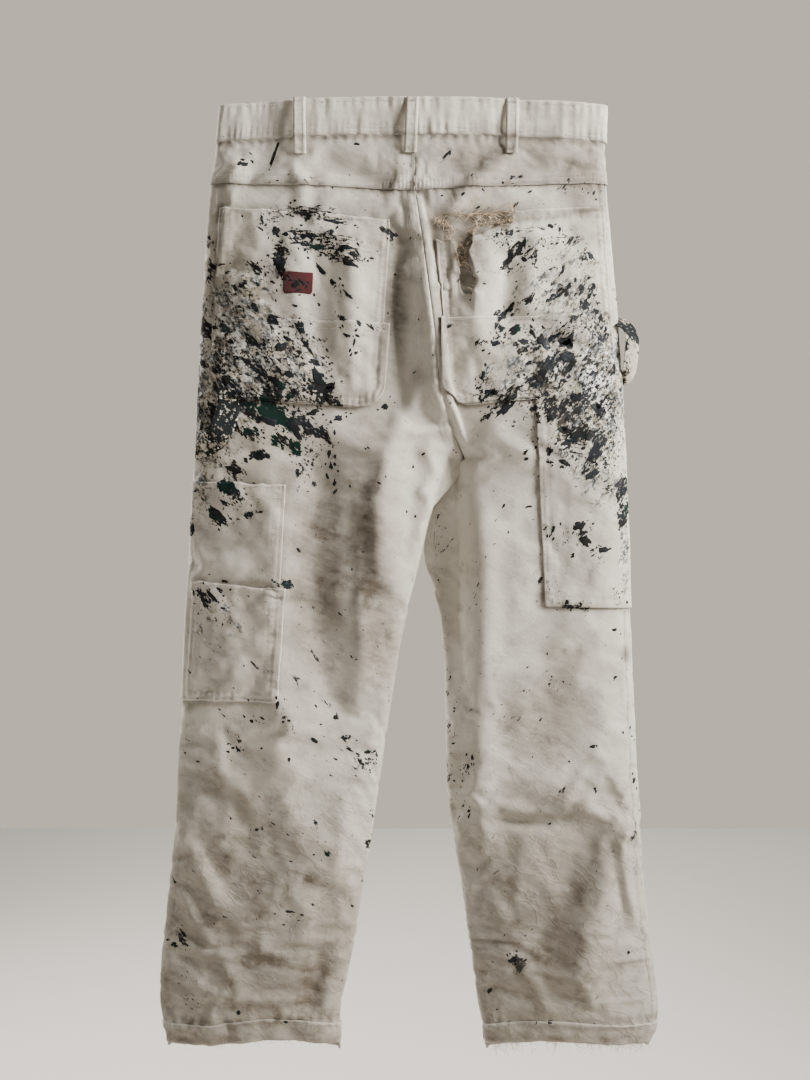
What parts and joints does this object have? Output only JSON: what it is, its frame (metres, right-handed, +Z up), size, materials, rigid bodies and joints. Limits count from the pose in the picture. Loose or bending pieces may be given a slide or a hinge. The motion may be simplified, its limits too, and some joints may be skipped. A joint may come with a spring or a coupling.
{
  "type": "painter's work trousers",
  "caption": "Paint-splattered off-white canvas painter's trousers hanging flat by the waistband, with seat, tool and rule pockets, hammer loop, belt loops, zip fly and button.",
  "frame": {"origin": "centre of the waistband's top edge, where a hanger holds the garment", "axes": "+Z up along the hanging garment, -Y out of the seat side, +Y out of the fly side, +X towards the wearer's right as seen from behind"},
  "size_m": [0.5509, 0.0762, 1.05],
  "materials": {
    "canvas": "worn off-white cotton drill with dried paint and grime",
    "pocketing": "plain undyed pocket cotton",
    "painted_strap": "cotton drill strap crusted with dark paint",
    "label": "woven red label, blank",
    "zip_tape": "woven tape",
    "zip_metal": "dull brass",
    "button_metal": "worn nickel"
  },
  "bodies": {
    "hips": {"waistband": "canvas", "yoke_left": "canvas", "yoke_right": "canvas", "back_hip_left": "canvas", "back_hip_right": "canvas", "front_hip_left": "canvas", "front_hip_right": "canvas", "seat_pocket_left": "canvas", "seat_pocket_right": "canvas", "seat_patch_left": "canvas", "seat_patch_right": "canvas", "pocket_label": "label", "rule_pocket_hip": "canvas", "hammer_loop": "painted_strap", "side_loop": "painted_strap", "belt_loop_back": "canvas", "belt_loop_back_left": "canvas", "belt_loop_back_right": "canvas", "belt_loop_front_left": "canvas", "belt_loop_front_right": "canvas", "front_pocket_bag_left": "pocketing", "front_pocket_bag_right": "pocketing", "fly_facing": "canvas", "fly_shield": "canvas", "zip_tape_left": "zip_tape", "zip_tape_right": "zip_tape", "zip_chain": "zip_metal", "zip_stops": "zip_metal", "button_tack": "button_metal"},
    "left_leg": {"back_leg_left": "canvas", "front_leg_left": "canvas", "hem_left": "canvas", "tool_pocket_left": "canvas", "pen_pocket_left": "canvas"},
    "right_leg": {"back_leg_right": "canvas", "front_leg_right": "canvas", "hem_right": "canvas", "rule_pocket_right": "canvas"},
    "zip_slider": {"zip_slider": "zip_metal", "zip_pull": "zip_metal"},
    "waist_button": {"waist_button": "button_metal"}
  },
  "joints": [
    {"name": "left_leg_swing", "type": "hinge", "parent": "hips", "child": "left_leg", "pos_m": [0, 0, -0.41], "axis": [1, 0, 0], "range_deg": [-20, 20]},
    {"name": "right_leg_swing", "type": "hinge", "parent": "hips", "child": "right_leg", "pos_m": [0, 0, -0.41], "axis": [1, 0, 0], "range_deg": [-20, 20]},
    {"name": "zip_slide", "type": "slide", "parent": "hips", "child": "zip_slider", "axis": [0, 0.0883, -0.9961], "range_m": [0, 0.132]},
    {"name": "button_swivel", "type": "hinge", "parent": "hips", "child": "waist_button", "pos_m": [-0.011, 0.0177, -0.022], "axis": [0, 1, 0], "continuous": true}
  ]
}
